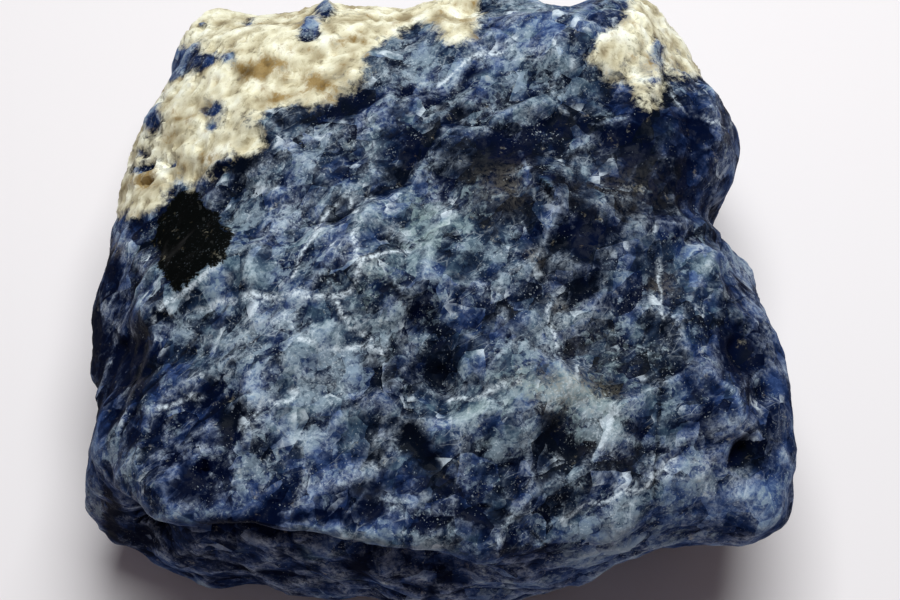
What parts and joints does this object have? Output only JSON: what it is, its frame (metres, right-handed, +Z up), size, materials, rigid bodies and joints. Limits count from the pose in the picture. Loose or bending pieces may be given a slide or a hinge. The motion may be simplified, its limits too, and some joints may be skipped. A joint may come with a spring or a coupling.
{
  "type": "rough sodalite stone",
  "caption": "Rough broken lump of blue sodalite with pale calcite, an undercut ledge along the front, a notch in the right side and a flat break to rest on.",
  "frame": {"origin": "on the flat break that the stone rests on, under the middle of its outline", "axes": "+X to the right, across the notched side; +Y to the back, away from the ledge; +Z up"},
  "size_m": [0.0668, 0.0616, 0.0321],
  "materials": {
    "sodalite_blue": "broken, with glassy and frosted flats"
  },
  "bodies": {
    "root": {"sodalite": "sodalite_blue"}
  },
  "joints": []
}
